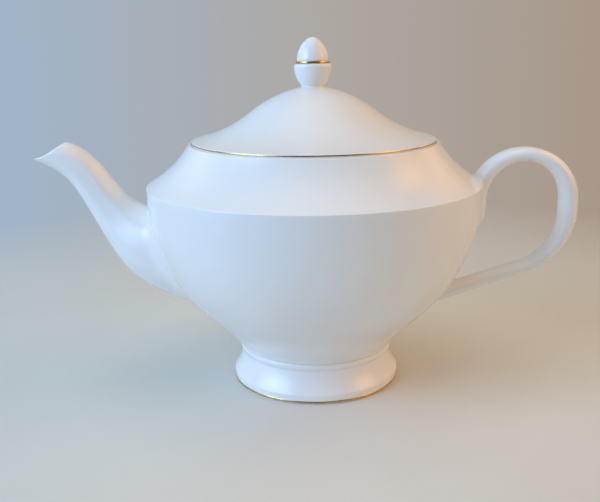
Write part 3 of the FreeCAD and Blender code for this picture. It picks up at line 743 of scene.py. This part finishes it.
def make_handle():
    """Oval strap with soft joints, kept within the bowl's wall where it is stuck on."""
    rows = handle_path()
    along = np.gradient(rows[:, :2], axis=0)
    along /= np.linalg.norm(along, axis=1, keepdims=True)
    out = np.stack([-along[:, 1], along[:, 0]], axis=1)
    phi = 2 * math.pi * np.arange(HANDLE_COLUMNS) / HANDLE_COLUMNS
    power = HANDLE_OVAL_POWER
    c, s = np.cos(phi), np.sin(phi)
    rim = 1.0 / (np.abs(c) ** power + np.abs(s) ** power) ** (1 / power)
    grid = np.zeros((len(rows), HANDLE_COLUMNS, 3))
    normal = np.zeros_like(grid)
    half_width = HANDLE_WIDTH / 2
    for k, (x, z, thick) in enumerate(rows):
        half = thick / 2
        grid[k, :, 0] = x + out[k, 0] * s * rim * half
        grid[k, :, 1] = c * rim * half_width
        grid[k, :, 2] = z + out[k, 1] * s * rim * half
        slope = np.sign(s) * np.abs(s) ** (power - 1) / half
        normal[k, :, 0] = out[k, 0] * slope
        normal[k, :, 1] = np.sign(c) * np.abs(c) ** (power - 1) / half_width
        normal[k, :, 2] = out[k, 1] * slope
    points = grid.reshape(-1, 3)
    normals = normal.reshape(-1, 3)
    normals /= np.linalg.norm(normals, axis=1, keepdims=True)
    gap, away = bowl_distance(points)
    side = normals - (normals * away).sum(1, keepdims=True) * away
    size = np.linalg.norm(side, axis=1, keepdims=True)
    side = np.where(size > LEAST_SLANT, side / np.maximum(size, 1e-6), 0.0)
    depth = np.clip((HANDLE_BLEND - gap) / HANDLE_BLEND, 0.0, 1.0)
    push = HANDLE_BLEND * (1 - np.sqrt(1 - depth**2)) * np.clip(size[:, 0], 0.0, 1.0)
    moved = points + side * push[:, None]
    gap_now, away = bowl_distance(moved)
    target = np.maximum(gap, -HANDLE_ROOT_DEPTH)
    near = gap < HANDLE_BLEND
    moved = np.where(near[:, None], moved + away * (target - gap_now)[:, None], moved)
    faces = grid_faces(len(rows), HANDLE_COLUMNS, False)
    last = (len(rows) - 1) * HANDLE_COLUMNS
    faces += [tuple(range(HANDLE_COLUMNS)), tuple(range(last, last + HANDLE_COLUMNS))]
    return moved, faces


def make_pot_body():
    inner_r = BOWL_RADIUS - BOWL_WALL
    bottom_z = BOWL_CENTRE_Z - BOWL_RADIUS
    underside_z = BOWL_CENTRE_Z - math.sqrt(BOWL_RADIUS**2 - FOOT_BORE**2)
    pts = outer_wall()
    pts += [(RIM_LIP_INNER, rim_top), (RIM_LIP_INNER, RIM_Z)]
    pts += [(MOUTH_RADIUS, RIM_Z), (MOUTH_RADIUS, COLLAR_Z), (inner_r, BOWL_CENTRE_Z)]
    pts += arc(pts[-1], (0.0, BOWL_CENTRE_Z - inner_r), inner_r, -1, steps=96)
    pts += [(0.0, bottom_z)]
    pts += arc(pts[-1], (FOOT_BORE, underside_z), BOWL_RADIUS, 1)
    pts += [(FOOT_BORE, joint_z)]
    return pts


def make_foot():
    edge = (FOOT_RADIUS, FOOT_EDGE_Z)
    waist = (WAIST_RADIUS, waist_z)
    joint = (joint_r, joint_z)
    pts = [(FOOT_RADIUS - FOOT_ROUND, 0.0)]
    pts += arc(pts[-1], (FOOT_RADIUS, FOOT_ROUND), FOOT_ROUND, 1, steps=8)
    pts += [edge]
    pts += arc(edge, waist, sag_radius(edge, waist, COVE_SAG), -1)
    pts += arc(waist, joint, sag_radius(waist, joint, BEAD_SAG), 1)
    pts += [(FOOT_BORE, joint_z), (FOOT_INNER, 0.0)]
    return pts


def make_lid():
    """Shell that swings from a hollow edge into a round crown, with a flange to hang in the mouth."""
    edge = np.array([LID_RADIUS - LIP_ROUND, LIP_Z + LIP_ROUND])
    crown = np.array([LID_CROWN_R, LID_CROWN_Z])
    chord = math.dist(edge, crown)
    slope = math.atan2(crown[1] - edge[1], edge[0] - crown[0]) + LID_SWING
    middle = edge + (crown - edge) * LID_INFLECTION
    hollow_r = LID_INFLECTION * chord / (2 * math.sin(LID_SWING))
    crown_r = (1 - LID_INFLECTION) * chord / (2 * math.sin(LID_SWING))
    lean = np.array([math.sin(slope), math.cos(slope)])
    under_middle = middle - LID_WALL * lean
    hollow_centre = middle + hollow_r * lean
    crown_centre = middle - crown_r * lean
    under_r = hollow_r + LID_WALL
    under_edge_z = hollow_centre[1] - math.sqrt(under_r**2 - (hollow_centre[0] - FLANGE_INNER) ** 2)
    top_r = crown_r - LID_WALL
    under_crown_z = crown_centre[1] + math.sqrt(top_r**2 - crown_centre[0] ** 2)
    pts = [(LID_RADIUS, SEAT_Z), (LID_RADIUS, LIP_Z)]
    pts += arc(pts[-1], edge, LIP_ROUND, 1, steps=12)
    pts += arc(edge, middle, hollow_r, -1)
    pts += arc(middle, crown, crown_r, 1)
    pts += [(0.0, LID_CROWN_Z), (0.0, under_crown_z)]
    pts += arc(pts[-1], under_middle, top_r, -1)
    pts += arc(under_middle, (FLANGE_INNER, under_edge_z), under_r, 1)
    pts += [(FLANGE_INNER, FLANGE_Z), (FLANGE_OUTER, FLANGE_Z), (FLANGE_OUTER, SEAT_Z)]
    return pts


def make_finial():
    """Knob: a short neck, a round cup and an egg that stands in it."""
    bulge = CUP_RADIUS - NECK_RADIUS
    cup_curve = (bulge**2 + (CUP_Z - NECK_Z) ** 2) / (2 * bulge)
    cap_z = EGG_HEIGHT - EGG_CAP
    side = (EGG_RADIUS**2 + cap_z**2 - EGG_CAP**2) / (2 * (EGG_RADIUS - EGG_CAP))
    join = (
        EGG_CAP * (side - EGG_RADIUS) / (side - EGG_CAP),
        EGG_Z + cap_z + EGG_CAP * cap_z / (side - EGG_CAP),
    )
    ledge = (CUP_RADIUS - CUP_LIP, CUP_Z + CUP_LIP)
    groove_r = EGG_RADIUS - EGG_GROOVE
    pts = [(0.0, LID_CROWN_Z - NECK_SINK)]
    pts += [(NECK_RADIUS + wider, LID_CROWN_Z + rise) for wider, rise in NECK_FLARE]
    pts += [(NECK_RADIUS, NECK_Z)]
    pts += arc(pts[-1], (CUP_RADIUS, CUP_Z), cup_curve, 1)
    pts += arc((CUP_RADIUS, CUP_Z), ledge, CUP_LIP, 1, steps=16)
    pts += [(groove_r, ledge[1]), (groove_r, EGG_Z), (EGG_RADIUS, EGG_Z)]
    pts += arc(pts[-1], join, side, 1)
    pts += arc(join, (0.0, EGG_Z + EGG_HEIGHT), EGG_CAP, 1)
    return pts


def china_piece(name, node, body, verts, faces):
    obj = mesh_object(name, verts, faces, body, CHINA)
    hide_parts(node)
    return obj


def turned(name, node, body, points):
    outline = turned_outline(points, EDGE_SOFTNESS[node])
    return china_piece(name, node, body, *lathe(outline, closed=not touches_axis(points)))


def gilt_ring(name, body, node, radius, low, high, depth, seed):
    """Thin round line of gilding, laid by hand, so its edges wander a little."""
    rng = np.random.default_rng(seed)
    phases = rng.uniform(0, 2 * math.pi, (2, len(GILT_LOBES)))
    start = (radius, low)
    end = (radius, high)
    bulge = arc(start, end, sag_radius(start, end, GILT_PROUD * (high - low)), 1, steps=12)
    outline = [(radius - depth, low), start] + bulge + [(radius - depth, high)]

    def wander(number, angle):
        share = (outline[number][1] - low) / (high - low)
        waves = sum(np.sin(n * angle + phases[:, k]) / (1 + k) for k, n in enumerate(GILT_LOBES))
        return GILT_WANDER * float(waves[0] * (1 - share) + waves[1] * share)

    verts, faces = lathe(outline, wave=wander)
    ring = mesh_object(name, verts, faces, body, GILT)
    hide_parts(node)


def strainer_rods():
    """Rods for the strainer's holes: a middle one and two rings, along the spout's root."""
    place, along = spine_at(STRAINER_AT)
    axis = np.array([along[0], 0.0, along[1]])
    across = np.array([0.0, 1.0, 0.0])
    up = np.cross(axis, across)
    offset = np.array([place[0], 0.0, place[1] - BOWL_CENTRE_Z])
    shell = BOWL_RADIUS - BOWL_WALL / 2
    ahead = offset @ axis
    step = -ahead + math.sqrt(ahead**2 - offset @ offset + shell**2)
    middle = np.array([place[0], 0.0, place[1]]) + axis * step
    half = axis * STRAINER_REACH
    rods = []
    for count, pitches in STRAINER_RINGS:
        for k in range(count):
            a = 2 * math.pi * k / count
            centre = middle + pitches * STRAINER_PITCH * (math.cos(a) * across + math.sin(a) * up)
            rods.append(((centre - half) * TO_SPOUT_SIDE, (centre + half) * TO_SPOUT_SIDE, STRAINER_HOLE_R))
    return rods


pot = turned("pot_body_china", "pot_body", "pot", make_pot_body())
cut_holes(pot, strainer_rods())
turned("foot_china", "foot", "pot", make_foot())
lid = turned("lid_china", "lid", "lid", make_lid())
cut_holes(lid, [((0.0, VENT_Y, VENT_REACH[0]), (0.0, VENT_Y, VENT_REACH[1]), VENT_RADIUS)])
turned("finial_china", "finial", "lid", make_finial())
china_piece("spout_china", "spout", "pot", *make_spout())
china_piece("handle_china", "handle", "pot", *make_handle())
for line in GILT_LINES:
    gilt_ring(*line)


def floor_material():
    """Pale matt floor that fades out into the backdrop further off."""
    material, nodes, links = new_material("floor")
    shader = nodes["Principled BSDF"]
    shader.inputs["Roughness"].default_value = 0.9
    shader.inputs["Specular IOR Level"].default_value = 0.1
    coords = nodes.new("ShaderNodeTexCoord").outputs["Object"]
    cloudy = noise(nodes, links, coords, 9.0, 5.0)
    links.new(ramp(nodes, links, cloudy, FLOOR_TONES), shader.inputs["Base Color"])
    distance = nodes.new("ShaderNodeVectorMath")
    distance.operation = "LENGTH"
    links.new(coords, distance.inputs[0])
    fade = spread(nodes, links, distance.outputs["Value"], 0.0, 1.0, *FLOOR_FADE)
    clear = nodes.new("ShaderNodeBsdfTransparent")
    mix = nodes.new("ShaderNodeMixShader")
    links.new(fade, mix.inputs["Fac"])
    links.new(shader.outputs["BSDF"], mix.inputs[1])
    links.new(clear.outputs["BSDF"], mix.inputs[2])
    links.new(mix.outputs["Shader"], nodes["Material Output"].inputs["Surface"])
    return material


def make_floor():
    bm = bmesh.new()
    bmesh.ops.create_circle(bm, cap_ends=True, segments=96, radius=FLOOR_FADE[1] * 1.1)
    mesh = bpy.data.meshes.new("floor")
    bm.to_mesh(mesh)
    bm.free()
    mesh.materials.append(floor_material())
    floor = bpy.data.objects.new("floor", mesh)
    bpy.context.scene.collection.objects.link(floor)


def soften_lamp(light):
    """Dims a lamp from its middle to its edge, so that the glaze mirrors no hard outline."""
    light.use_nodes = True
    nodes = light.node_tree.nodes
    links = light.node_tree.links
    place = nodes.new("ShaderNodeNewGeometry").outputs["Parametric"]
    reach = nodes.new("ShaderNodeVectorMath")
    reach.operation = "DISTANCE"
    links.new(place, reach.inputs[0])
    reach.inputs[1].default_value = (0.5, 0.5, 0.0)
    fade = spread(nodes, links, reach.outputs["Value"], 1.0, 0.0, 0.1, 0.5)
    links.new(fade, nodes["Emission"].inputs["Strength"])


def add_lamp(name, place, size, power, colour):
    light = bpy.data.lights.new(name, "AREA")
    light.shape = "SQUARE"
    light.size = size
    light.energy = power
    light.color = colour
    soften_lamp(light)
    obj = bpy.data.objects.new(name, light)
    obj.location = place
    obj.rotation_mode = "QUATERNION"
    obj.rotation_quaternion = (Vector(POT_MIDDLE) - Vector(place)).to_track_quat("-Z", "Y")
    obj.visible_camera = False
    bpy.context.scene.collection.objects.link(obj)


def larger(nodes, links, first, second):
    node = nodes.new("ShaderNodeMath")
    node.operation = "MAXIMUM"
    links.new(first, node.inputs[0])
    links.new(second, node.inputs[1])
    return node.outputs["Value"]


def colour_mix(nodes, links, factor, blend_type="MIX"):
    node = nodes.new("ShaderNodeMix")
    node.data_type = "RGBA"
    node.blend_type = blend_type
    links.new(factor, node.inputs["Factor"])
    return node


def set_world():
    """Even ambient light. The camera and the glaze see a backdrop, cool on the left and warm on the right,
    which is dimmer in front of the pot for the glaze."""
    world = bpy.data.worlds.new("studio")
    bpy.context.scene.world = world
    world.use_nodes = True
    nodes = world.node_tree.nodes
    links = world.node_tree.links
    background = nodes["Background"]
    split = nodes.new("ShaderNodeSeparateXYZ")
    links.new(nodes.new("ShaderNodeTexCoord").outputs["Generated"], split.inputs["Vector"])
    side = spread(nodes, links, split.outputs["X"], 0.0, 1.0, -BACKDROP_REACH, BACKDROP_REACH)
    front = spread(nodes, links, split.outputs["Y"], FRONT_DIM, 1.0, *FRONT_REACH)
    path = nodes.new("ShaderNodeLightPath").outputs
    dim = colour_mix(nodes, links, path["Is Glossy Ray"], "MULTIPLY")
    links.new(ramp(nodes, links, side, BACKDROP), dim.inputs["A"])
    links.new(front, dim.inputs["B"])
    seen = larger(nodes, links, path["Is Camera Ray"], path["Is Glossy Ray"])
    mix = colour_mix(nodes, links, larger(nodes, links, seen, path["Is Transmission Ray"]))
    mix.inputs["A"].default_value = (*AMBIENT, 1.0)
    links.new(dim.outputs["Result"], mix.inputs["B"])
    links.new(mix.outputs["Result"], background.inputs["Color"])
    background.inputs["Strength"].default_value = 1.0


def make_camera():
    """Camera at the photo's viewpoint, found from the ellipses of the rim, lid and foot."""
    level = math.cos(CAMERA_TILT)
    forward = Vector((math.sin(CAMERA_PAN) * level, math.cos(CAMERA_PAN) * level, -math.sin(CAMERA_TILT)))
    flat_right = Vector((math.cos(CAMERA_PAN), -math.sin(CAMERA_PAN), 0.0))
    flat_up = flat_right.cross(forward)
    right = flat_right * math.cos(CAMERA_ROLL) + flat_up * math.sin(CAMERA_ROLL)
    up = flat_up * math.cos(CAMERA_ROLL) - flat_right * math.sin(CAMERA_ROLL)
    data = bpy.data.cameras.new("camera")
    data.sensor_fit = "HORIZONTAL"
    data.sensor_width = SENSOR_WIDTH
    data.lens = FOCAL_PIXELS * SENSOR_WIDTH / IMAGE_WIDTH
    data.clip_start = 0.01
    camera = bpy.data.objects.new("camera", data)
    turn = Matrix((right, up, -forward)).transposed()
    camera.matrix_world = Matrix.Translation(CAMERA_PLACE) @ turn.to_4x4()
    bpy.context.scene.collection.objects.link(camera)
    bpy.context.scene.camera = camera


make_floor()
set_world()
for lamp in LAMPS:
    add_lamp(*lamp)
make_camera()
bpy.context.scene.view_settings.view_transform = "Standard"
